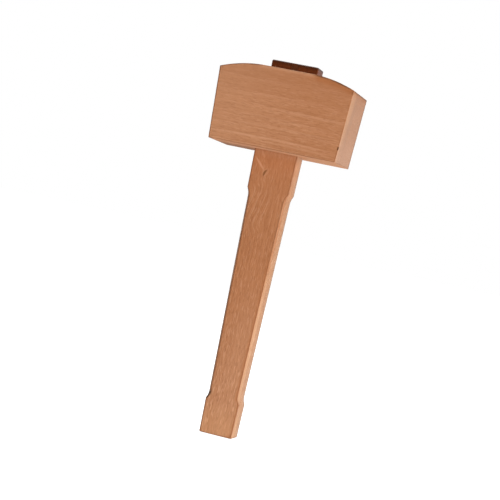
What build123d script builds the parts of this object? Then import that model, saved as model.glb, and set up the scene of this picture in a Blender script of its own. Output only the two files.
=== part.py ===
from build123d import *

import os
from math import sqrt

# A joiner's wooden mallet. The head is one beech block with a crowned top and
# slanted striking faces. The handle is one flat tapered board, widest at its top,
# that goes in through the top of the head and is held by its own taper. A hardwood
# wedge fills the saw kerf in the end of the handle.
#
# Frame: origin at the middle of the handle's foot, +Z up along the handle,
# X along the head's length, Y through its thickness.

# Handle blank
HANDLE_LENGTH = 352.0
FOOT_WIDTH = 31.4
TOP_WIDTH = 45.0
HANDLE_THICKNESS = 21.0
END_CHAMFER = 0.8

# Grip: the stretch between the pommel and the shoulder block, where the narrow
# sides are cut back and the four long arrises are chamfered
POMMEL_LENGTH = 32.0
GRIP_TOP = 231.6
GRIP_RECESS = 1.7
GRIP_CHAMFER = 1.3
RUN_OUT = 7.5
CHAMFER_INSET = 0.4

# Head
HEAD_UNDERSIDE = 268.0
HEAD_END_HEIGHT = 67.0
CROWN_RISE = 8.0
CROWN_FLAT = 44.0
HEAD_TOP_LENGTH = 128.6
HEAD_BOTTOM_LENGTH = 121.6
HEAD_DEPTH = 65.0
HEAD_ARRIS_RADIUS = 0.8
MORTISE_CLEARANCE = 0.1

# Wedge and the kerf that it is driven into
WEDGE_LENGTH = 50.0
WEDGE_TOP = 6.0
KERF_WIDTH = 1.8
KERF_BELOW_WEDGE = 6.0

# Stock that a cutter reaches past the surface that it cuts
OVERCUT = 3.0


def blank_half_width(height):
    """Half the width of the uncut handle board at a height above the foot."""
    return (FOOT_WIDTH + (TOP_WIDTH - FOOT_WIDTH) * height / HANDLE_LENGTH) / 2


def front_profile(points):
    """Closed straight-sided outline in the front view, as a face at Y = 0."""
    corners = [(x, 0, z) for x, z in points]
    return make_face(Polyline(*corners, close=True))


def slab(face, thickness):
    """Solid made by thickening a front-view face equally to the front and back."""
    return extrude(face, amount=thickness / 2, dir=(0, 1, 0), both=True)


def scoop_cutter(start, end, outward, depth, reach):
    """Cutter for a shallow trough along the line from start to end.

    The trough is `depth` deep against `outward`, with a round run-out of RUN_OUT at
    each end, and the cutter reaches that far to both sides of the line.
    """
    along = (end - start).normalized()
    length = (end - start).length
    across = along.cross(outward).normalized()
    plane = Plane(origin=start, x_dir=along, z_dir=across)
    side = 1 if plane.y_dir.dot(outward) > 0 else -1
    floor = -side * depth
    above = side * OVERCUT
    outline = [
        TangentArc((RUN_OUT, floor), (0, 0), tangent=(-1, 0)),
        Line((RUN_OUT, floor), (length - RUN_OUT, floor)),
        TangentArc((length - RUN_OUT, floor), (length, 0), tangent=(1, 0)),
        Polyline((length, 0), (length, above), (0, above), (0, 0)),
    ]
    return extrude(plane * make_face(outline), amount=reach, both=True)


def arris(side, front, height, inset=0.0):
    """Point on a long edge of the handle board; side and front are +1 or -1."""
    return Vector(side * blank_half_width(height), front * HANDLE_THICKNESS / 2, height + inset)


def make_handle():
    top = blank_half_width(HANDLE_LENGTH)
    foot = blank_half_width(0)
    outline = [(-foot, 0), (foot, 0), (top, HANDLE_LENGTH), (-top, HANDLE_LENGTH)]
    handle = slab(front_profile(outline), HANDLE_THICKNESS)
    ends = handle.edges().group_by(Axis.Z)
    handle = chamfer(ends[0] + ends[-1], END_CHAMFER)

    for side in (-1, 1):
        handle -= grip_recess(side)
        for front in (-1, 1):
            handle -= grip_chamfer(side, front)
    return handle - kerf()


def grip_recess(side):
    """Cuts one narrow side of the grip back, between the pommel and the shoulder."""
    start = Vector(side * blank_half_width(POMMEL_LENGTH), 0, POMMEL_LENGTH)
    end = Vector(side * blank_half_width(GRIP_TOP), 0, GRIP_TOP)
    return scoop_cutter(start, end, Vector(side, 0, 0), GRIP_RECESS, HANDLE_THICKNESS)


def grip_chamfer(side, front):
    """Bevels one long arris of the grip; it is measured from the uncut board."""
    start = arris(side, front, POMMEL_LENGTH + CHAMFER_INSET)
    end = arris(side, front, GRIP_TOP - CHAMFER_INSET)
    depth = (GRIP_RECESS + GRIP_CHAMFER) / sqrt(2)
    return scoop_cutter(start, end, Vector(side, front, 0), depth, HANDLE_THICKNESS)


def wedge_outline(slot_below=0.0):
    """Front view of the wedge, or of the kerf, whose slot runs on below the wedge."""
    wide = WEDGE_TOP / 2
    narrow = KERF_WIDTH / 2
    tip = HANDLE_LENGTH - WEDGE_LENGTH
    right = [(narrow, tip), (wide, HANDLE_LENGTH)]
    if slot_below:
        right.insert(0, (narrow, tip - slot_below))
    left = [(-x, z) for x, z in reversed(right)]
    return right + left


def kerf():
    return slab(front_profile(wedge_outline(KERF_BELOW_WEDGE)), HANDLE_THICKNESS + 2 * OVERCUT)


def make_wedge():
    wedge = slab(front_profile(wedge_outline()), HANDLE_THICKNESS)
    top_ends = wedge.edges().group_by(Axis.Z)[-1].filter_by(Axis.X)
    return chamfer(top_ends, END_CHAMFER)


def make_head():
    top_end = HEAD_UNDERSIDE + HEAD_END_HEIGHT
    crown = top_end + CROWN_RISE
    bottom = HEAD_BOTTOM_LENGTH / 2
    top = HEAD_TOP_LENGTH / 2
    flat = CROWN_FLAT / 2
    outline = [
        Polyline((-top, 0, top_end), (-bottom, 0, HEAD_UNDERSIDE),
                 (bottom, 0, HEAD_UNDERSIDE), (top, 0, top_end)),
        TangentArc((flat, 0, crown), (top, 0, top_end), tangent=(1, 0, 0)),
        Line((-flat, 0, crown), (flat, 0, crown)),
        TangentArc((-flat, 0, crown), (-top, 0, top_end), tangent=(-1, 0, 0)),
    ]
    head = slab(make_face(outline), HEAD_DEPTH)
    head = fillet(head.edges(), HEAD_ARRIS_RADIUS)
    return head - mortise(HEAD_UNDERSIDE - OVERCUT, crown + OVERCUT)


def mortise(low, high):
    """Tapered hole through the head, a close fit on the handle."""
    wide = blank_half_width(high) + MORTISE_CLEARANCE
    narrow = blank_half_width(low) + MORTISE_CLEARANCE
    outline = [(-narrow, low), (narrow, low), (wide, high), (-wide, high)]
    return slab(front_profile(outline), HANDLE_THICKNESS + 2 * MORTISE_CLEARANCE)


PARTS = {
    "head": make_head,
    "handle": make_handle,
    "wedge": make_wedge,
}

os.makedirs("parts", exist_ok=True)
for name, make in PARTS.items():
    export_step(make(), f"parts/{name}.step")
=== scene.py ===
import math
from typing import NamedTuple

import bmesh
import bpy
from mathutils import Matrix, Vector, noise


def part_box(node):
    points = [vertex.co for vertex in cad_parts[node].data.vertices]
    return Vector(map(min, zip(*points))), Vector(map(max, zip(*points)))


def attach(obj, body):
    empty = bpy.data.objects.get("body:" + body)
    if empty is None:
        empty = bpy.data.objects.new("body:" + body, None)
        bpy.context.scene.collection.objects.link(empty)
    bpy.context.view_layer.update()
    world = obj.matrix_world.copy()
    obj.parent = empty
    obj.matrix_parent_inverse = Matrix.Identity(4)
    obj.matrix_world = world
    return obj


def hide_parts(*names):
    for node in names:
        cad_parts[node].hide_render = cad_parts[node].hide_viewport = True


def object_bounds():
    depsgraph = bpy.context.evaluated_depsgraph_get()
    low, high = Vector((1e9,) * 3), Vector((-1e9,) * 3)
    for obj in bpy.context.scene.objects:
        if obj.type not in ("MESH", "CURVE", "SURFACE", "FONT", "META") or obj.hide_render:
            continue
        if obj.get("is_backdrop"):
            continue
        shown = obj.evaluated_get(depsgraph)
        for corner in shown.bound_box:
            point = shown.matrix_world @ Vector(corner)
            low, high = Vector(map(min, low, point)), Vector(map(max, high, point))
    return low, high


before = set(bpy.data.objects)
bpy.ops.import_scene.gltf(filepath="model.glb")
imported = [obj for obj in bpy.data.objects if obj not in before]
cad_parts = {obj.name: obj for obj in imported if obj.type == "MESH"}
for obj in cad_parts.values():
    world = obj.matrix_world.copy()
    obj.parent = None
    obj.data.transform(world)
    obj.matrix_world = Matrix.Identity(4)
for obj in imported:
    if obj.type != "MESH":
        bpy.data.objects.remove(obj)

# A wooden joiner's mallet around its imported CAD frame. The head and the handle are
# rebuilt as fine meshes with hand-eased arrises, and their beech is a solid pattern of
# rings, rays and fibres that runs right through each block. The handle's top end is
# sealed dark brown and split by a dark wedge.
# Meshes are worked out in millimetres in the frame's own axes and scaled at the end:
# Z up the handle, X along the head, Y through its thickness with the front at -Y.

bpy.context.view_layer.update()
CAD_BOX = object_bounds()
MM = 0.001
HEAD_LOW, HEAD_HIGH = [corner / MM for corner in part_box("head")]
HANDLE_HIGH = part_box("handle")[1] / MM
WEDGE_LOW, WEDGE_HIGH = [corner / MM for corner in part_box("wedge")]

# Handle, in mm
HANDLE_LENGTH = HANDLE_HIGH.z
HALF_THICKNESS = HANDLE_HIGH.y
FOOT_HALF_WIDTH = 15.7
TOP_HALF_WIDTH = 22.5
END_CHAMFER = 0.8
GRIP_LOW = 32.0
GRIP_HIGH = 231.6
GRIP_RECESS = 1.7
GRIP_CHAMFER = 1.3
RUN_OUT = 7.5
CHAMFER_INSET = 0.4
HANDLE_ARRIS = 0.45

# Head, in mm
UNDERSIDE = HEAD_LOW.z
HALF_DEPTH = HEAD_HIGH.y
CROWN = HEAD_HIGH.z
HEAD_END_HEIGHT = 67.0
CROWN_FLAT = 22.0
HALF_BOTTOM = 60.8
HALF_TOP = 64.3
HEAD_ARRIS = 0.8
MORTISE_GAP = 0.12

# Wedge and its kerf, in mm
WEDGE_HALF_TOP = WEDGE_HIGH.x
WEDGE_TIP = WEDGE_LOW.z
KERF_HALF = 0.9
KERF_BOTTOM = WEDGE_TIP - 6.0
WEDGE_GAP = 0.03
WEDGE_ARRIS = 0.12

# How far apart the lines of the meshes are at most, in mm
HEAD_PITCH = 3.5
HANDLE_PITCH = 2.5
RUN_OUT_PITCH = 0.8
WEDGE_PITCH = 4.0

# How far the head's faces sway out of flat on average, in mm
HEAD_SWAY = 0.04

# Pale growth zones on the head's front: height, middle, half length and half height in
# mm, and strength
PALE_ZONES = (
    (304.0, 30.0, 38.0, 2.0, 0.13),
    (295.8, -8.0, 50.0, 1.3, 0.20),
    (287.5, 4.0, 62.0, 1.6, 0.25),
    (276.7, -6.0, 62.0, 1.5, 0.30),
    (273.4, 16.0, 48.0, 1.1, 0.22),
)

# Handle's figure, in mm: the pin knot, its pale tail (middle, radii, turn in degrees and
# strength), and the height at which the grain leans most
KNOT_PLACE = (-6.9, 247.5)
KNOT_TAILS = (
    ((-13.0, 255.0), (8.6, 1.3), -47.0, 0.46),
    ((-11.5, 264.0), (4.5, 1.3), -60.0, 0.25),
)
LEAN_HEIGHT = 216.0
LEAN_LINE_PITCH = 5.2

# Relief of the grain in mm, and the oiled surface's sheen
GRAIN_RELIEF = 0.07
SHEEN = 0.2
SHEEN_TINT = (1.0, 0.55, 0.3)

# Colours of wear, dirt, odd patches of wood, painted light and painted shade, in linear RGB
END_PALE = (0.54, 0.30, 0.15)
END_GREY = (0.300, 0.160, 0.095)
END_LOWER = (0.62, 0.40, 0.30)
END_BAND = (0.310, 0.170, 0.105)
END_SOILED = (0.200, 0.095, 0.050)
EDGE_SHADE = (0.130, 0.055, 0.028)
BRUISED = (0.080, 0.026, 0.010)
UNDERSIDE_LIGHT = (0.80, 0.46, 0.28)
UNDERSIDE_SHADE = (0.160, 0.085, 0.050)
FOOT_LIGHT = (0.78, 0.40, 0.19)
KNOT_BROWN = (0.150, 0.050, 0.012)
BEVEL_HIGHLIGHT = (0.72, 0.46, 0.28)
BEVEL_RED = (0.430, 0.150, 0.055)
BEVEL_SHADE = (0.050, 0.022, 0.010)
SEALER = (0.118, 0.024, 0.004)
SEALER_STREAK = (0.066, 0.012, 0.0025)
SEALER_TOP_SHADE = (0.028, 0.005, 0.0010)
SEALER_END_GRAIN = (0.040, 0.010, 0.004)
SEALER_RUBBED_AND_HIGHLIGHT = (0.260, 0.120, 0.070)

# Tints, which the wood's colour is multiplied by; those named for sheen add a painted reflection
HEAD_END_OIL_AND_SHEEN_TINT = (0.765, 0.915, 1.135)
CROWN_SHADE_TINT = (0.94, 0.83, 0.70)
HANDLE_END_TINT = (0.72, 0.76, 0.88)
NARROW_SIDE_SHEEN_TINT = (0.97, 1.14, 1.26)
RIGHT_BACK_SHEEN_TINT = (0.88, 0.99, 1.14)

# Camera: where it stands round the mallet, how far off, and how it is rolled
CAMERA_AZIMUTH = math.radians(14.67)
CAMERA_ELEVATION = math.radians(0.61)
CAMERA_ROLL = math.radians(12.25)
CAMERA_DISTANCE = 1.444
CAMERA_AIM = Vector((0.0, 0.0, 0.1745))
CAMERA_AIM_LEFT = 7.27 * MM
CAMERA_LENS = 111.6
SENSOR_WIDTH = 36.0

# Softboxes: name, place, aim and size in metres, watts
SOFTBOXES = (
    ("key", (2.3, -1.07, 0.25), (0, 0, 0.2), (1.3, 1.0), 88.0),
    ("fill", (-0.3, -2.0, 0.5), (0, 0, 0.2), (1.2, 1.2), 2.5),
    ("overhead", (0.0, 0.5, 1.9), (0, 0, 0.3), (1.4, 1.4), 30.0),
    ("back", (-2.0, 1.75, 0.7), (0, 0, 0.2), (1.2, 1.2), 50.0),
)
WORLD_FILL = 0.12
FLOOR_GLOW = 0.63


# ================================================================ mesh helpers

def drift(place, size, seed):
    """Smooth random number from -1 to 1 that changes over about `size` mm."""
    return noise.noise(place / size + Vector((seed, 7.3 * seed, -3.1 * seed)))


def steps(low, high, pitch):
    """Evenly spaced numbers from low to high, both included, at most pitch apart."""
    count = max(1, math.ceil((high - low) / pitch))
    return [low + (high - low) * i / count for i in range(count + 1)]


def edge_steps(low, high, pitch, arris, marks=()):
    """Like steps, with close lines within an arris of both ends, and lines at the marks."""
    close = [0.0, 0.12 * arris, 0.3 * arris, 0.5 * arris, 0.75 * arris, arris, 1.6 * arris]
    places = {round(low + d, 4) for d in close} | {round(high - d, 4) for d in close}
    inner = sorted({low + close[-1], *marks, high - close[-1]})
    for start, end in zip(inner, inner[1:]):
        places.update(round(p, 4) for p in steps(start, end, pitch))
    return sorted(places)


def finish_mesh(bm, name, material, body, node, smooth_angle=50):
    """Turns a bmesh in mm into a piece of the object that rides on a CAD body."""
    bmesh.ops.recalc_face_normals(bm, faces=bm.faces)
    bmesh.ops.scale(bm, vec=(MM, MM, MM), verts=bm.verts)
    mesh = bpy.data.meshes.new(name)
    bm.to_mesh(mesh)
    bm.free()
    mesh.materials.append(material)
    mesh.shade_smooth()
    mesh.set_sharp_from_angle(angle=math.radians(smooth_angle))
    piece = bpy.data.objects.new(name, mesh)
    bpy.context.scene.collection.objects.link(piece)
    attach(piece, body)
    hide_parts(node)
    return piece


def blank_half_width(height):
    """Half the width of the uncut handle board at a height."""
    return FOOT_HALF_WIDTH + (TOP_HALF_WIDTH - FOOT_HALF_WIDTH) * height / HANDLE_LENGTH


# ======================================================================== head

def crown_height(x):
    """Height of the head above its underside at a distance along its length."""
    rise = CROWN - UNDERSIDE - HEAD_END_HEIGHT
    run = HALF_TOP - CROWN_FLAT
    beyond = min(max(abs(x) - CROWN_FLAT, 0.0), run)
    radius = (run * run + rise * rise) / (2 * rise)
    return CROWN - UNDERSIDE - (radius - math.sqrt(radius * radius - beyond * beyond))


def head_half_length(height):
    """Half the head's length at a height above its underside."""
    return HALF_BOTTOM + (HALF_TOP - HALF_BOTTOM) * height / HEAD_END_HEIGHT


def head_point(x, y, z):
    """Maps a point of the straight block onto the crowned, slanted and eased head.

    The block is HALF_BOTTOM by HALF_DEPTH, and as high as the crown. Returns the point
    and its distance from the nearest arris.
    """
    full = CROWN - UNDERSIDE
    point = Vector((x, y, z - full / 2))
    half = Vector((HALF_BOTTOM, HALF_DEPTH, full / 2))
    gaps = sorted(h - abs(p) for h, p in zip(half, point))

    # The arrises are eased by hand, so their radius varies, and the faces sway a little
    arris = HEAD_ARRIS * (0.78 + 0.22 * drift(point, 9.0, 1.0))
    core = Vector([max(-h + arris, min(h - arris, p)) for h, p in zip(half, point)])
    eased = core + (point - core).normalized() * arris if (point - core).length > 0 else point
    sway = HEAD_SWAY * (1 + drift(eased, 26.0, 4.0))
    pairs = list(zip(half, eased))
    eased -= Vector([math.copysign(sway, p) if h - abs(p) < 0.01 else 0 for h, p in pairs])

    height = eased.z + full / 2
    spread = mortise_spread(eased.x, height)
    lifted = height * crown_height(spread) / full
    return Vector((spread, eased.y, UNDERSIDE + lifted)), gaps[1]


def mortise_spread(x, height):
    """Stretches the block sideways, so that its mortise and ends follow their slants."""
    mortise = blank_half_width(UNDERSIDE) + MORTISE_GAP
    mortise_here = blank_half_width(UNDERSIDE + height) + MORTISE_GAP
    if abs(x) <= mortise:
        return x * mortise_here / mortise
    share = (abs(x) - mortise) / (HALF_BOTTOM - mortise)
    outer = head_half_length(min(height * HEAD_END_HEIGHT / (CROWN - UNDERSIDE), HEAD_END_HEIGHT))
    here = mortise_here + share * (outer - mortise_here)
    return math.copysign(here, x)


def skin(bm, vert, first, second, corner, hole=(0.0, 0.0)):
    """Faces over a grid of two rows of places, apart from a hole round the middle.

    `corner` turns a point of the grid into x, y and z, and `vert` those into a vertex.
    """
    for a, b in zip(first, first[1:]):
        for c, d in zip(second, second[1:]):
            if max(abs(a), abs(b)) <= hole[0] and max(abs(c), abs(d)) <= hole[1]:
                continue
            bm.faces.new([vert(*corner(p, q)) for p, q in ((a, c), (b, c), (b, d), (a, d))])


def make_head(material):
    bm = bmesh.new()
    edge = bm.verts.layers.float.new("edge_mm")
    mortise_x = round(blank_half_width(UNDERSIDE) + MORTISE_GAP, 4)
    mortise_y = round(HALF_THICKNESS + MORTISE_GAP, 4)
    xs = edge_steps(-HALF_BOTTOM, HALF_BOTTOM, HEAD_PITCH, HEAD_ARRIS, (-mortise_x, mortise_x))
    ys = edge_steps(-HALF_DEPTH, HALF_DEPTH, HEAD_PITCH, HEAD_ARRIS, (-mortise_y, mortise_y))
    zs = edge_steps(0.0, CROWN - UNDERSIDE, HEAD_PITCH, HEAD_ARRIS)
    made = {}

    def vert(x, y, z):
        key = (x, y, z)
        if key not in made:
            place, gap = head_point(x, y, z)
            made[key] = bm.verts.new(place)
            made[key][edge] = gap
        return made[key]

    for side in (xs[0], xs[-1]):
        skin(bm, vert, ys, zs, lambda y, z: (side, y, z))
    for side in (ys[0], ys[-1]):
        skin(bm, vert, xs, zs, lambda x, z: (x, side, z))
    for side in (zs[0], zs[-1]):
        skin(bm, vert, xs, ys, lambda x, y: (x, y, side), (mortise_x, mortise_y))

    # The four walls of the mortise run straight from the underside to the crown
    ends = (zs[0], zs[-1])
    mortise_xs = [x for x in xs if abs(x) <= mortise_x]
    mortise_ys = [y for y in ys if abs(y) <= mortise_y]
    for side in (mortise_x, -mortise_x):
        skin(bm, vert, mortise_ys, ends, lambda y, z: (side, y, z))
    for side in (mortise_y, -mortise_y):
        skin(bm, vert, mortise_xs, ends, lambda x, z: (x, side, z))
    return finish_mesh(bm, "head_block", material, "head", "head")


# ====================================================================== handle

def scoop(height, low, high, depth):
    """Depth of a shallow cut from low to high, with a round run-out at each end."""
    if height <= low or height >= high:
        return 0.0
    reach = RUN_OUT - min(height - low, high - height)
    if reach <= 0:
        return depth
    radius = (RUN_OUT * RUN_OUT + depth * depth) / (2 * depth)
    return depth - (radius - math.sqrt(radius * radius - reach * reach))


def handle_quarter(height):
    """One quarter of the handle's outline at a height, from its side to its front.

    Each entry is (x, y, distance from the nearest arris).
    """
    full_cut = GRIP_RECESS + GRIP_CHAMFER
    recess = scoop(height, GRIP_LOW, GRIP_HIGH, GRIP_RECESS)
    cut = scoop(height, GRIP_LOW + CHAMFER_INSET, GRIP_HIGH - CHAMFER_INSET, full_cut)
    inset = max(0.0, END_CHAMFER - min(height, HANDLE_LENGTH - height))
    wide = blank_half_width(height) - recess - inset
    deep = HALF_THICKNESS - inset
    arris = HANDLE_ARRIS * (0.85 + 0.3 * drift(Vector((wide, 0, height)), 14.0, 2.0))
    leg = max(cut - recess, arris * (2 - math.sqrt(2)))
    lap = arris * (math.sqrt(2) - 1)
    side_centre = Vector((wide - arris, deep - leg - lap))
    front_centre = Vector((wide - leg - lap, deep - arris))
    points = []
    for share in (0.0, 0.35, 0.65, 0.85):
        y = side_centre.y * share
        points.append((wide, y, side_centre.y - y))
    for centre, start in ((side_centre, 0), (front_centre, 45)):
        for angle in (0, 15, 30, 45):
            turn = math.radians(start + angle)
            x = centre.x + arris * math.cos(turn)
            points.append((x, centre.y + arris * math.sin(turn), 0.0))
    kerf = kerf_half(height)
    for share in (0.06, 0.15, 0.3, 0.45, 0.6, 0.75, 0.88, 1.0):
        x = front_centre.x + (kerf - front_centre.x) * share
        points.append((x, deep, front_centre.x - x))
    return points


def kerf_half(height):
    """Half the width of the kerf at a height, or of the strip of board below it."""
    share = max(0.0, (height - WEDGE_TIP) / (HANDLE_LENGTH - WEDGE_TIP))
    return KERF_HALF + (WEDGE_HALF_TOP - KERF_HALF) * share


def handle_heights():
    """Heights of the handle's outlines, which are closest where the cuts run out."""
    marks = [GRIP_LOW, GRIP_LOW + RUN_OUT, GRIP_HIGH - RUN_OUT, GRIP_HIGH, KERF_BOTTOM, WEDGE_TIP]
    heights = {0.0, 0.25, 0.5, END_CHAMFER, HANDLE_LENGTH - END_CHAMFER, HANDLE_LENGTH}
    ladder = [END_CHAMFER, *marks, HANDLE_LENGTH - END_CHAMFER]
    for low, high in zip(ladder, ladder[1:]):
        pitch = RUN_OUT_PITCH if high - low <= RUN_OUT else HANDLE_PITCH
        heights.update(round(h, 4) for h in steps(low, high, pitch))
    return sorted(heights)


def handle_sides(bm, edge, height):
    """Vertices at a height: a run round each side, from the kerf's front edge to its back."""
    quarter = handle_quarter(height)
    half = [(x, -y, gap) for x, y, gap in reversed(quarter[1:])] + quarter
    sides = []
    for side in (1, -1):
        run = []
        for x, y, gap in half:
            vert = bm.verts.new((side * x, y, height))
            vert[edge] = min(gap, height, HANDLE_LENGTH - height)
            run.append(vert)
        sides.append(run)
    return sides


def make_handle(material):
    bm = bmesh.new()
    edge = bm.verts.layers.float.new("edge_mm")
    heights = handle_heights()
    rows = [handle_sides(bm, edge, height) for height in heights]
    for low, under, over in zip(heights, rows, rows[1:]):
        for a, b in zip(under, over):
            for i in range(len(a) - 1):
                bm.faces.new((a[i], a[i + 1], b[i + 1], b[i]))
        # Above its bottom the kerf has a wall on each side; below it the board is whole
        if low >= KERF_BOTTOM:
            for a, b in zip(under, over):
                bm.faces.new((a[0], b[0], b[-1], a[-1]))
        else:
            for i in (0, -1):
                bm.faces.new((under[0][i], under[1][i], over[1][i], over[0][i]))
        if low == KERF_BOTTOM:
            bm.faces.new((under[0][0], under[1][0], under[1][-1], under[0][-1]))
    bm.faces.new(rows[0][0] + list(reversed(rows[0][1])))
    for run in rows[-1]:
        bm.faces.new(run)
    return finish_mesh(bm, "handle_board", material, "handle", "handle", 30)


# ======================================================================= wedge

def make_wedge(material):
    bm = bmesh.new()
    edge = bm.verts.layers.float.new("edge_mm")
    top = WEDGE_HIGH.z
    deep = WEDGE_HIGH.y - WEDGE_GAP
    heights = steps(WEDGE_TIP, top - END_CHAMFER, WEDGE_PITCH) + [top - 0.35, top - 0.1]
    ys = [-1.0, -0.96, -0.6, -0.2, 0.2, 0.6, 0.96, 1.0]
    rings = []
    for height in heights:
        worn = max(0.0, height - (top - END_CHAMFER)) * 0.6
        wide = kerf_half(height) - WEDGE_GAP
        loop = []
        for side, order in ((1, ys), (-1, list(reversed(ys)))):
            for y in order:
                pinch = WEDGE_ARRIS if abs(y) == 1.0 else 0.0
                vert = bm.verts.new((side * (wide - pinch), y * (deep - worn), height))
                vert[edge] = min(deep * (1 - abs(y)), top - height)
                loop.append(vert)
        rings.append(loop)
    for under, over in zip(rings, rings[1:]):
        for i in range(len(under)):
            j = (i + 1) % len(under)
            bm.faces.new((under[i], under[j], over[j], over[i]))
    bm.faces.new(rings[0])
    bm.faces.new(rings[-1])
    return finish_mesh(bm, "wedge_slip", material, "handle", "wedge", 30)


# ================================================================ node helpers

class Graph:
    """Short calls for building a material's node tree."""

    def __init__(self, tree):
        self.tree = tree

    def node(self, kind, **settings):
        made = self.tree.nodes.new(kind)
        for name, value in settings.items():
            setattr(made, name, value)
        return made

    def feed(self, socket, value):
        """Links an output socket, or sets a constant."""
        if isinstance(value, bpy.types.NodeSocket):
            self.tree.links.new(value, socket)
        elif isinstance(value, tuple) and len(value) == 3 and socket.type == "RGBA":
            socket.default_value = (*value, 1.0)
        else:
            socket.default_value = value

    def math(self, operation, *inputs, clamp=False):
        made = self.node("ShaderNodeMath", operation=operation, use_clamp=clamp)
        for socket, value in zip(made.inputs, inputs):
            self.feed(socket, value)
        return made.outputs[0]

    def total(self, *values):
        result = values[0]
        for value in values[1:]:
            result = self.math("ADD", result, value)
        return result

    def times(self, *values):
        result = values[0]
        for value in values[1:]:
            result = self.math("MULTIPLY", result, value)
        return result

    def join(self, x, y, z):
        made = self.node("ShaderNodeCombineXYZ")
        for socket, value in zip(made.inputs, (x, y, z)):
            self.feed(socket, value)
        return made.outputs[0]

    def noise(self, x, y, z, detail=2.0, roughness=0.5):
        """Noise from about 0 to 1 at coordinates that are already scaled."""
        made = self.node("ShaderNodeTexNoise")
        self.feed(made.inputs["Vector"], self.join(x, y, z))
        made.inputs["Scale"].default_value = 1.0
        made.inputs["Detail"].default_value = detail
        made.inputs["Roughness"].default_value = roughness
        return made.outputs["Fac"]

    def fade(self, value, start, end, low=0.0, high=1.0):
        """Goes smoothly from low at start to high at end."""
        made = self.node("ShaderNodeMapRange", interpolation_type="SMOOTHSTEP")
        self.feed(made.inputs["Value"], value)
        made.inputs["From Min"].default_value = start
        made.inputs["From Max"].default_value = end
        made.inputs["To Min"].default_value = low
        made.inputs["To Max"].default_value = high
        return made.outputs[0]

    def tint(self, colour, by):
        """Multiplies one colour by another."""
        return self.mix(1.0, colour, by, "MULTIPLY")

    def mix(self, factor, first, second, blend="MIX"):
        made = self.node("ShaderNodeMix", data_type="RGBA", blend_type=blend)
        self.feed(made.inputs["Factor"], factor)
        self.feed(made.inputs[6], first)
        self.feed(made.inputs[7], second)
        return made.outputs[2]


def new_material(name):
    material = bpy.data.materials.new(name)
    material.use_nodes = True
    material.node_tree.nodes.clear()
    return material, Graph(material.node_tree)


def place_mm(g):
    """Object coordinates in mm, as three sockets."""
    coordinates = g.node("ShaderNodeTexCoord")
    split = g.node("ShaderNodeSeparateXYZ")
    g.feed(split.inputs[0], coordinates.outputs["Object"])
    return [g.times(socket, 1000.0) for socket in split.outputs]


def normals(g):
    """The surface's own normal in the object's axes, as three sockets."""
    coordinates = g.node("ShaderNodeTexCoord")
    split = g.node("ShaderNodeSeparateXYZ")
    g.feed(split.inputs[0], coordinates.outputs["Normal"])
    return list(split.outputs)


def facing(g, axis):
    """How much the surface faces either way along an axis of the object: 0 to 1."""
    return g.math("ABSOLUTE", normals(g)[axis])


# =================================================================== materials

class Wood(NamedTuple):
    """One block of wood: how it was cut, its figure and its colours in linear RGB."""

    along: int          # axis of the grain
    across: int         # axis across the grain on the broad faces
    deep: int           # axis from the front to the back
    pith: tuple         # where the tree's middle was, across and deep, in mm
    ring: float         # width of a year's growth, in mm
    first_ring: float   # distance from the pith at which the rings are counted from, in mm
    sway: tuple         # how far the rings wander, slowly and quickly, in mm
    line: float         # strength of the ring lines
    seed: float         # keeps the three blocks' patterns apart
    rough: float        # roughness of the surface where no fibre shows
    light: tuple
    dark: tuple
    pale: tuple
    ray: tuple


HEAD_BEECH = Wood(
    along=0, across=2, deep=1, pith=(380.0, 150.0), ring=4.03, first_ring=209.2,
    sway=(1.6, 0.4), line=0.20, seed=3.0, rough=0.52,
    light=(0.535, 0.242, 0.118), dark=(0.410, 0.165, 0.073),
    pale=(0.640, 0.335, 0.190), ray=(0.285, 0.100, 0.040))
HANDLE_BEECH = Wood(
    along=2, across=0, deep=1, pith=(70.0, 60.0), ring=2.6, first_ring=0.0,
    sway=(3.0, 0.8), line=0.10, seed=11.0, rough=0.48,
    light=(0.490, 0.204, 0.092), dark=(0.370, 0.138, 0.056),
    pale=(0.640, 0.330, 0.185), ray=(0.260, 0.085, 0.031))
DARK_WOOD = Wood(
    along=2, across=0, deep=1, pith=(30.0, 20.0), ring=1.4, first_ring=0.0,
    sway=(3.0, 1.0), line=0.20, seed=23.0, rough=0.38,
    light=(0.108, 0.022, 0.004), dark=(0.066, 0.012, 0.003),
    pale=(0.110, 0.034, 0.012), ray=(0.030, 0.007, 0.002))


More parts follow.
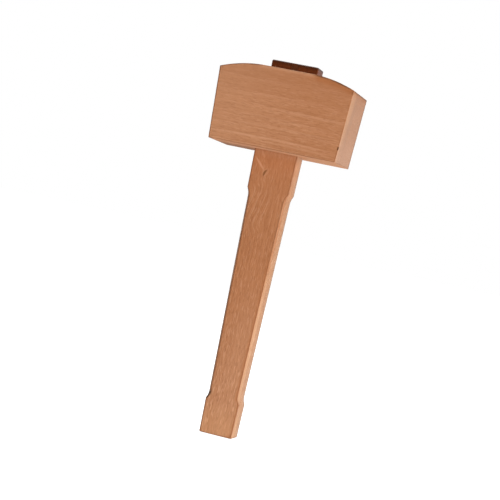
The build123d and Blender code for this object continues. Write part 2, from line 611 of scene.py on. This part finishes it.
def wood_figure(g, wood, place):
    """Rings, rays and fibres of a solid block of wood; returns a dict of 0-1 masks."""
    along, across, deep = place[wood.along], place[wood.across], place[wood.deep]
    shifted = g.total(deep, wood.seed)

    def grain(long_scale, cross_scale, deep_scale, start, end, detail=2.0):
        made = g.noise(g.times(along, long_scale), g.times(across, cross_scale),
                       g.times(shifted, deep_scale), detail, 0.6)
        return g.fade(made, start, end)

    side = g.math("SUBTRACT", across, wood.pith[0])
    depth = g.math("SUBTRACT", deep, wood.pith[1])
    reach = g.math("SQRT", g.total(g.times(side, side), g.times(depth, depth)))
    reach = g.total(reach, g.times(grain(0.012, 0.030, 0.030, 0.0, 1.0), wood.sway[0]),
                    g.times(grain(0.050, 0.160, 0.160, 0.0, 1.0), wood.sway[1]),
                    -wood.first_ring - (wood.sway[0] + wood.sway[1]) / 2)
    phase = g.math("FRACT", g.times(reach, 1.0 / wood.ring))
    patch = grain(0.020, 0.050, 0.050, 0.35, 0.62)
    mirrored = g.times(across, -0.90)
    pale_fleck = g.noise(mirrored, g.times(along, 0.13), g.times(shifted, 0.36), 1.0)
    return {
        "late": g.times(g.fade(phase, 0.45, 0.92), g.fade(phase, 1.0, 0.96), g.total(patch, 0.35)),
        "early": g.times(g.fade(phase, 0.34, 0.08), g.total(patch, 0.15)),
        "streak": grain(0.030, 0.50, 0.50, 0.30, 0.70, 3.0),
        "fibre": grain(0.14, 3.4, 3.4, 0.25, 0.75),
        "fleck": grain(0.17, 0.95, 0.30, 0.53, 0.66, 1.0),
        "pale_fleck": g.fade(pale_fleck, 0.55, 0.68),
        "fine_ray": grain(0.70, 4.6, 0.30, 0.56, 0.68, 1.0),
        "cloud": grain(0.016, 0.055, 0.055, 0.3, 0.7),
        "mottle": grain(0.060, 0.200, 0.200, 0.3, 0.7),
        "wander": grain(0.014, 0.020, 0.020, 0.2, 0.8),
    }


def wood_colour(g, wood, figure):
    """From light to dark wood by its figure, with pale flecks and dark rays on top."""
    tone = g.total(g.times(figure["late"], wood.line), g.times(figure["streak"], 0.32),
                   g.times(figure["fibre"], 0.14), g.times(figure["cloud"], 0.14),
                   g.times(figure["mottle"], 0.14))
    tone = g.math("MULTIPLY", tone, 1.0, clamp=True)
    colour = g.mix(tone, wood.light, wood.dark)
    colour = g.mix(g.times(figure["early"], wood.line), colour, wood.pale)
    colour = g.mix(g.times(figure["pale_fleck"], 0.30), colour, wood.pale)
    colour = g.mix(g.times(figure["fleck"], 0.30), colour, wood.ray)
    return g.mix(g.times(figure["fine_ray"], 0.24), colour, wood.ray)


def wood_relief(g, figure):
    """Height of the surface: fibres stand up, and late wood and rays are sunk."""
    return g.total(g.times(figure["fibre"], 0.6), g.times(figure["late"], -0.4),
                   g.times(figure["fine_ray"], -0.8))


def end_grain(g, wood):
    """1 where the surface cuts straight across the grain, and 0 along it."""
    return g.fade(facing(g, wood.along), 0.55, 0.9)


def edge_gap(g):
    """Distance from the nearest arris, in mm; 0 all over a bevel."""
    made = g.node("ShaderNodeAttribute", attribute_name="edge_mm")
    return made.outputs["Fac"]


def patches(g, place, scale):
    """Uneven noise in space, with features of about 1 / scale mm."""
    return g.noise(*[g.times(axis, scale) for axis in place], 3.0, 0.6)


def edge_wear_and_painted_light(g, wood, place, colour, rub_and_highlight=0.7):
    """Darkens the wood just inside each arris, as grime and painted shade, and rubs the arris
    itself pale in places, as wear and a painted highlight.
    """
    gap = edge_gap(g)
    patch = patches(g, place, 0.11)
    close = g.times(g.fade(gap, 1.3, 0.5), g.fade(patch, 0.25, 0.6, 0.5, 1.0))
    # Grime and painted shade just inside each arris
    painted_shade = tuple(0.62 * part for part in wood.ray)
    colour = g.mix(g.times(close, 0.58), colour, painted_shade)
    # Wear and a painted highlight on the arris itself
    paler_edge = g.times(g.fade(gap, 0.4, 0.1), g.fade(patch, 0.35, 0.55, 0.4, 1.0))
    return g.mix(g.times(paler_edge, rub_and_highlight), colour, wood.pale)


def shade(g, colour, roughness, figure):
    """Ends a wood material: a faint relief of its figure under a warm, thin sheen."""
    relief = g.node("ShaderNodeBump")
    relief.inputs["Strength"].default_value = 1.0
    relief.inputs["Distance"].default_value = GRAIN_RELIEF * MM
    g.feed(relief.inputs["Height"], wood_relief(g, figure))
    shader = g.node("ShaderNodeBsdfPrincipled")
    g.feed(shader.inputs["Base Color"], colour)
    g.feed(shader.inputs["Roughness"], roughness)
    g.feed(shader.inputs["Normal"], relief.outputs[0])
    shader.inputs["Specular IOR Level"].default_value = SHEEN
    shader.inputs["Specular Tint"].default_value = (*SHEEN_TINT, 1.0)
    output = g.node("ShaderNodeOutputMaterial")
    g.feed(output.inputs["Surface"], shader.outputs[0])


def spot(g, first, second, centre, radii, turn=0.0, bend=0.0):
    """Soft-edged oval mask in the plane of two coordinates: turned, and bent if asked."""
    u = g.math("SUBTRACT", first, centre[0])
    v = g.math("SUBTRACT", second, centre[1])
    cosine, sine = math.cos(math.radians(turn)), math.sin(math.radians(turn))
    along = g.total(g.times(u, cosine), g.times(v, sine))
    across = g.total(g.times(v, cosine), g.times(u, -sine), g.times(along, along, bend))
    x = g.times(along, 1.0 / radii[0])
    y = g.times(across, 1.0 / radii[1])
    return g.fade(g.total(g.times(x, x), g.times(y, y)), 1.0, 0.25)


# ------------------------------------------------------------- the head's beech

def head_beech():
    wood = HEAD_BEECH
    material, g = new_material("beech_head")
    place = place_mm(g)
    figure = wood_figure(g, wood, place)
    colour = head_painted_light_and_shade(g, wood, place, wood_colour(g, wood, figure))
    colour = head_pale_zones(g, wood, place, figure, colour)
    colour = g.mix(end_grain(g, wood), colour, head_end_grain(g, wood, place, colour))
    colour = head_arrises(g, wood, place, colour)
    colour = head_painted_shade(g, place, colour)
    colour, below = head_underside(g, place, colour)
    roughness = g.total(wood.rough, g.times(figure["fibre"], 0.10), g.times(below, 0.38))
    shade(g, colour, roughness, figure)
    return material


def head_painted_light_and_shade(g, wood, place, colour):
    """Painted shade makes it a little redder and darker towards the crown and to the right;
    painted light makes it paler to the left.
    """
    x, _, z = place
    # Painted shade: redder and darker towards the crown
    colour = g.mix(g.fade(z, UNDERSIDE + 34.0, CROWN - 4.0, 0.0, 0.52), colour, wood.dark)
    # Painted shade: a little darker to the right
    colour = g.mix(g.fade(x, -10.0, 60.0, 0.0, 0.16), colour, wood.dark)
    # Painted light: paler to the left
    return g.mix(g.fade(x, 30.0, -60.0, 0.0, 0.20), colour, wood.pale)


def head_pale_zones(g, wood, place, figure, colour):
    """Pale growth zones that come out on the front face."""
    x, y, z = place
    for height, middle, half_length, half_height, strength in PALE_ZONES:
        wandering = g.total(z, g.times(figure["wander"], 1.6), -0.8)
        zone = spot(g, x, wandering, (middle, height), (half_length, half_height))
        zone = g.times(zone, g.fade(y, -HALF_DEPTH + 9.0, -HALF_DEPTH), strength)
        colour = g.mix(zone, colour, wood.pale)
    return colour


def head_end_grain(g, wood, place, colour):
    """Striking faces: more oil under a greyer, bluer painted reflection of the white surroundings,
    greyer bands and a paler front edge.

    The right one is soiled along its back edge too.
    """
    x, y, z = place
    # More oil darkens the end grain; its greyer, bluer tint is a painted reflection of the white
    # surroundings
    soaked_and_sheen = g.tint(colour, HEAD_END_OIL_AND_SHEEN_TINT)
    edge = g.total(y, g.times(z, -0.17), HALF_DEPTH + 0.17 * UNDERSIDE)
    outer = g.fade(edge, 9.0, 0.0)
    middle = spot(g, y, z, (-10.0, CROWN - 24.0), (7.0, 46.0), -8.0)
    lower = g.fade(z, UNDERSIDE + 34.0, UNDERSIDE + 6.0)
    bands = g.noise(g.times(y, 0.45), g.times(z, 0.03), g.times(x, 0.01), 2.0)
    soaked_and_sheen = g.mix(g.times(outer, 0.33), soaked_and_sheen, END_PALE)
    soaked_and_sheen = g.mix(g.times(middle, 0.46), soaked_and_sheen, END_GREY)
    soaked_and_sheen = g.mix(g.times(lower, 0.12), soaked_and_sheen, END_LOWER)
    soaked_and_sheen = g.mix(g.fade(bands, 0.46, 0.62, 0.0, 0.34), soaked_and_sheen, END_BAND)
    back = g.times(g.fade(y, HALF_DEPTH - 5.0, HALF_DEPTH - 1.0), g.fade(x, 0.0, 10.0))
    soaked_and_sheen = g.mix(g.times(back, 0.55), soaked_and_sheen, END_SOILED)
    return g.mix(g.fade(z, CROWN - 30.0, CROWN - 6.0, 0.0, 0.16), soaked_and_sheen, wood.ray)


def head_arrises(g, wood, place, colour):
    """Wear, painted shade and painted highlights along the arrises, with less of them up the right
    end.

    The crown's are worn pale beside the handle, and the right end's front one has a small bruise
    low down.
    """
    x, y, z = place
    # How strongly wear and its painted highlight pale the arrises: a little less along the
    # underside
    rub_and_highlight = g.fade(z, UNDERSIDE + 1.0, UNDERSIDE + 3.0, 0.55, 0.70)
    worn = edge_wear_and_painted_light(g, wood, place, colour, rub_and_highlight)
    cleaner = g.times(g.fade(x, 52.0, 58.0), g.fade(z, UNDERSIDE + 22.0, UNDERSIDE + 42.0), 0.6)
    colour = g.mix(cleaner, worn, colour)
    paler_edge = g.times(beside_handle(g, x), g.fade(z, CROWN - 3.5, CROWN - 1.0),
                     g.fade(facing(g, wood.deep), 0.3, 0.7))
    colour = g.mix(g.times(paler_edge, 0.40), colour, wood.pale)
    bruise = spot(g, z, y, (UNDERSIDE + 13.0, -HALF_DEPTH), (1.9, 1.5))
    bruise = g.times(bruise, g.fade(x, 59.8, 60.6))
    return g.mix(g.times(bruise, 0.90), colour, BRUISED)


def beside_handle(g, x):
    """1 on the flat of the crown beside the handle, and 0 towards the head's ends."""
    return g.fade(g.math("ABSOLUTE", x), 30.0, 22.0)


def head_painted_shade(g, place, colour):
    """Painted shade darkens the crown's arris except beside the handle, and the left end's arris
    too.
    """
    x, _, z = place
    crown = g.times(g.fade(z, UNDERSIDE + 61.0, UNDERSIDE + 66.0),
                    g.math("SUBTRACT", 1.0, beside_handle(g, x)))
    # Painted shade: a warmer, darker tint near the crown's arrises right of the handle
    crown_right_shade = g.times(crown, g.fade(x, 14.0, 34.0), g.fade(edge_gap(g), 8.0, 3.0))
    colour = g.mix(crown_right_shade, colour, g.tint(colour, CROWN_SHADE_TINT))
    # Painted shade on the crown's arris and on the left end's arris
    darkened = g.math("MAXIMUM", crown, g.fade(x, -56.0, -59.0))
    close = g.fade(g.times(edge_gap(g), g.fade(x, 10.0, 34.0, 1.0, 0.6)), 1.5, 0.4)
    uneven = g.fade(patches(g, place, 0.09), 0.30, 0.60, 0.3, 1.0)
    darkened = g.times(darkened, close, uneven, g.fade(x, 10.0, 34.0, 0.60, 0.80))
    return g.mix(darkened, colour, EDGE_SHADE)


def head_underside(g, place, colour):
    """The underside is left as sawn; painted light makes it pale from under the handle rightwards,
    and painted shade darkens it left of the handle, most towards the back.

    Returns the colour and the mask of the underside.
    """
    x, y, _ = place
    below = g.fade(normals(g)[2], -0.7, -0.95)
    # Painted light from under the handle rightwards
    colour = g.mix(g.times(below, g.fade(x, -28.0, -12.0), 0.30), colour, UNDERSIDE_LIGHT)
    # Painted shade left of the handle, darkest towards the back
    left_shade = g.times(below, g.fade(x, -14.0, -24.0), g.fade(y, -24.0, 12.0))
    return g.mix(g.times(left_shade, 0.66), colour, UNDERSIDE_SHADE), below


# ----------------------------------------------------------- the handle's beech

def handle_beech():
    wood = HANDLE_BEECH
    material, g = new_material("beech_handle")
    x, y, z = place_mm(g)
    front = g.fade(y, 2.0, -4.0)
    narrow_side = g.fade(facing(g, wood.across), 0.85, 0.98)

    # A pin knot near the shoulder pushes the grain aside, and below it the grain leans
    pushed = spot(g, x, z, (KNOT_PLACE[0] + 3.0, KNOT_PLACE[1]), (7.0, 16.0))
    pushed = g.times(pushed, front, -1.6)
    leaning = g.times(spot(g, x, z, (-6.0, LEAN_HEIGHT), (15.0, 26.0)), front)
    lean = g.times(g.total(z, -LEAN_HEIGHT), leaning, -0.22)
    grain_x = g.total(x, pushed, lean)
    figure = wood_figure(g, wood, [grain_x, y, z])

    colour = wood_colour(g, wood, figure)
    colour = handle_painted_light_and_shade(g, wood, (x, y, z), figure, front, narrow_side, colour)
    colour = leaning_lines(g, wood, grain_x, figure, leaning, colour)
    colour = pin_knot(g, wood, x, z, front, colour)
    colour = handle_cuts(g, wood, (x, y, z), narrow_side, colour)
    colour = handle_wear_and_painted_light(g, wood, (x, y, z), front, colour)
    colour, sealed = sealed_end(g, wood, (x, y, z), figure, colour)
    roughness = g.total(wood.rough, g.times(figure["fibre"], 0.10), g.times(sealed, -0.12))
    shade(g, colour, roughness, figure)
    return material


def handle_painted_light_and_shade(g, wood, place, figure, front, narrow_side, colour):
    """Painted light makes it paler towards the foot and on the lower right, painted shade darkens
    it under the head, and painted light pales it again just below the head and where the head
    covers it.
    """
    x, _, z = place
    # Painted light: paler towards the foot, with coarse pale and dark flecks
    footward_light = g.times(g.fade(z, 160.0, 20.0), g.fade(narrow_side, 0.0, 1.0, 1.0, 0.35))
    coarse = g.total(g.times(figure["pale_fleck"], 0.55), g.times(figure["mottle"], 0.20), 0.22)
    colour = g.mix(g.times(footward_light, coarse), colour, wood.pale)
    colour = g.mix(g.times(footward_light, figure["fleck"], 0.30), colour, wood.ray)
    # Painted light: paler on the lower right
    rightward_light = g.times(g.fade(x, -12.0, 4.0), g.fade(z, 170.0, 90.0),
                        g.fade(narrow_side, 1.0, 0.0))
    colour = g.mix(g.times(rightward_light, 0.18), colour, wood.pale)
    # Painted light: paler still at the front of the foot
    colour = g.mix(g.times(g.fade(z, 34.0, 8.0), front, 0.24), colour, FOOT_LIGHT)
    # Painted shade under the head
    colour = g.mix(g.fade(z, 215.0, 258.0, 0.0, 0.30), colour, wood.dark)
    # Painted light just below the head and on up where the head covers it
    return g.mix(g.fade(z, UNDERSIDE - 8.0, UNDERSIDE - 1.0, 0.0, 0.24), colour, wood.pale)


def leaning_lines(g, wood, grain_x, figure, leaning, colour):
    """Pale lines, a few mm apart, where the grain leans."""
    wandering = g.total(grain_x, g.times(figure["wander"], 2.0), 40.0)
    line = g.math("FRACT", g.times(wandering, 1.0 / LEAN_LINE_PITCH))
    lines = g.times(g.fade(line, 0.0, 0.12), g.fade(line, 0.30, 0.18), leaning)
    return g.mix(g.times(lines, 0.30), colour, wood.pale)


def pin_knot(g, wood, x, z, front, colour):
    """A short dark pin knot in a paler halo, with a pale tail up to the left edge."""
    halo = spot(g, x, z, (KNOT_PLACE[0] + 0.8, KNOT_PLACE[1] + 0.3), (5.5, 3.2), 60.0)
    colour = g.mix(g.times(halo, front, 0.25), colour, wood.pale)
    for centre, radii, turn, strength in KNOT_TAILS:
        tail = g.times(spot(g, x, z, centre, radii, turn), front)
        colour = g.mix(g.times(tail, strength), colour, wood.pale)
    core = g.times(spot(g, x, z, KNOT_PLACE, (4.4, 1.3), 68.0, 0.05), front)
    return g.mix(g.times(core, 0.74), colour, KNOT_BROWN)


def handle_cuts(g, wood, place, narrow_side, colour):
    """End grain soaks up more oil; the narrow sides are tinted cooler and paler, a painted
    reflection of the white surroundings.

    The back half of the right one is greyer still, a painted bluish-grey sheen.
    """
    x, y, _ = place
    colour = g.mix(end_grain(g, wood), colour, g.tint(colour, HANDLE_END_TINT))
    # Painted reflection: the narrow sides tinted cooler and paler
    colour = g.mix(narrow_side, colour, g.tint(colour, NARROW_SIDE_SHEEN_TINT))
    # Painted sheen: the back half of the right side greyer and bluer
    right_back_sheen = g.times(narrow_side, g.fade(y, -2.0, 8.0), g.fade(x, -4.0, 4.0))
    return g.mix(right_back_sheen, colour, g.tint(colour, RIGHT_BACK_SHEEN_TINT))


def handle_wear_and_painted_light(g, wood, place, front, colour):
    """Worn and shaded arrises; a painted highlight pales the lower right bevel, and painted shade
    darkens the left ones.
    """
    x, _, z = place
    colour = edge_wear_and_painted_light(g, wood, place, colour, 0.35)

    # The front is redder just inside the right bevel
    inside = g.times(g.fade(facing(g, wood.deep), 0.85, 0.97), g.fade(x, 7.0, 10.0), front)
    inside = g.times(inside, g.fade(edge_gap(g), 3.2, 1.2), g.fade(z, 200.0, 150.0))
    colour = g.mix(g.times(inside, 0.40), colour, BEVEL_RED)

    # Painted highlight on the lower right bevel
    bevel = g.times(g.fade(facing(g, wood.across), 0.50, 0.65), g.fade(x, 9.0, 12.0), front)
    paler_edge = g.times(bevel, g.fade(edge_gap(g), 5.0, 0.5), g.fade(z, 190.0, 120.0))
    paler_edge = g.times(paler_edge, g.fade(z, GRIP_LOW, GRIP_LOW + 6.0), 0.32)
    colour = g.mix(paler_edge, colour, BEVEL_HIGHLIGHT)

    # Painted shade on the left bevels, darkest where they run out at the pommel
    run_out = g.times(g.fade(z, GRIP_LOW - 1.5, GRIP_LOW + 1.0),
                      g.fade(z, GRIP_LOW + 11.0, GRIP_LOW + 5.0))
    thin = g.times(g.fade(edge_gap(g), 0.5, 0.2), 0.40)
    thick = g.times(g.fade(edge_gap(g), 1.9, 0.6), run_out, 0.92)
    painted_shade = g.times(g.math("MAXIMUM", thin, thick), g.fade(x, -9.0, -12.0))
    return g.mix(painted_shade, colour, BEVEL_SHADE)


def sealed_end(g, wood, place, figure, colour):
    """The end that stands out of the head is sealed dark brown, darker towards the top with
    painted shade, and rubbed on its arrises, with a painted highlight.

    Returns the colour and the mask of the sealed end.
    """
    x, y, z = place
    ragged = g.noise(g.times(x, 0.8), g.times(y, 0.8), g.times(z, 0.15), 2.0)
    sealed = g.fade(g.total(z, g.times(ragged, 1.2)), CROWN - 1.8, CROWN - 1.0)
    brown = g.mix(g.times(figure["streak"], 0.5), SEALER, SEALER_STREAK)
    # Painted shade: darker towards the top
    brown = g.mix(g.fade(z, CROWN + 4.6, CROWN + 8.8, 0.0, 0.88), brown, SEALER_TOP_SHADE)
    brown = g.mix(g.times(end_grain(g, wood), 0.5), brown, SEALER_END_GRAIN)
    # Rubbed arrises with a painted highlight
    brown = g.mix(g.fade(edge_gap(g), 0.25, 0.05, 0.0, 0.15), brown, SEALER_RUBBED_AND_HIGHLIGHT)
    return g.mix(sealed, colour, brown), sealed


# --------------------------------------------------------- the wedge's hardwood

def dark_hardwood():
    wood = DARK_WOOD
    material, g = new_material("dark_hardwood")
    place = place_mm(g)
    figure = wood_figure(g, wood, place)
    colour = edge_wear_and_painted_light(g, wood, place, wood_colour(g, wood, figure))
    roughness = g.total(wood.rough, g.times(figure["fibre"], 0.12))
    shade(g, colour, roughness, figure)
    return material


# ================================================================ surroundings

def add_floor():
    material, g = new_material("floor_paper")
    shader = g.node("ShaderNodeBsdfPrincipled")
    shader.inputs["Base Color"].default_value = (0.4, 0.4, 0.4, 1.0)
    shader.inputs["Roughness"].default_value = 0.9
    shader.inputs["Specular IOR Level"].default_value = 0.0
    shader.inputs["Emission Color"].default_value = (1.0, 1.0, 1.0, 1.0)
    path = g.node("ShaderNodeLightPath")
    glow = g.fade(path.outputs["Is Camera Ray"], 0.0, 1.0, FLOOR_GLOW, 1.0)
    g.feed(shader.inputs["Emission Strength"], glow)
    output = g.node("ShaderNodeOutputMaterial")
    g.feed(output.inputs["Surface"], shader.outputs[0])
    bpy.ops.mesh.primitive_plane_add(size=60.0, location=(0, 0, 0))
    floor = bpy.context.object
    floor.name = "floor"
    floor.data.materials.append(material)
    floor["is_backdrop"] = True


def add_world():
    """White all round for the eye and for reflections, and a dimmer white as fill."""
    world = bpy.data.worlds.new("studio")
    bpy.context.scene.world = world
    world.use_nodes = True
    g = Graph(world.node_tree)
    background = world.node_tree.nodes["Background"]
    background.inputs["Color"].default_value = (1, 1, 1, 1)
    path = g.node("ShaderNodeLightPath")
    strength = g.fade(path.outputs["Is Diffuse Ray"], 0.0, 1.0, 1.0, WORLD_FILL)
    g.feed(background.inputs["Strength"], strength)


def add_softbox(name, place, aim, size, watts):
    data = bpy.data.lights.new(name, "AREA")
    data.shape = "RECTANGLE"
    data.size, data.size_y = size
    data.energy = watts
    light = bpy.data.objects.new(name, data)
    light.location = place
    direction = Vector(aim) - Vector(place)
    light.rotation_euler = direction.to_track_quat("-Z", "Y").to_euler()
    bpy.context.scene.collection.objects.link(light)


def add_camera():
    azimuth, elevation = CAMERA_AZIMUTH, CAMERA_ELEVATION
    right = Vector((math.cos(azimuth), math.sin(azimuth), 0.0))
    forward = Vector((-math.sin(azimuth) * math.cos(elevation),
                      math.cos(azimuth) * math.cos(elevation), -math.sin(elevation)))
    up = right.cross(forward)
    rolled_right = right * math.cos(CAMERA_ROLL) + up * math.sin(CAMERA_ROLL)
    rolled_up = up * math.cos(CAMERA_ROLL) - right * math.sin(CAMERA_ROLL)
    data = bpy.data.cameras.new("camera")
    data.lens = CAMERA_LENS
    data.sensor_width = SENSOR_WIDTH
    data.clip_end = 50.0
    camera = bpy.data.objects.new("camera", data)
    turn = Matrix((rolled_right, rolled_up, -forward)).transposed()
    place = CAMERA_AIM - right * CAMERA_AIM_LEFT - forward * CAMERA_DISTANCE
    camera.matrix_world = Matrix.Translation(place) @ turn.to_4x4()
    bpy.context.scene.collection.objects.link(camera)
    bpy.context.scene.camera = camera


def write_sizes():
    bpy.context.view_layer.update()
    boxes = {"cad": CAD_BOX, "visual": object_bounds()}
    plain = {name: [list(corner) for corner in box] for name, box in boxes.items()}


make_head(head_beech())
make_handle(handle_beech())
make_wedge(dark_hardwood())
add_floor()
add_world()
for softbox in SOFTBOXES:
    add_softbox(*softbox)
add_camera()
bpy.context.scene.view_settings.view_transform = "Standard"
write_sizes()
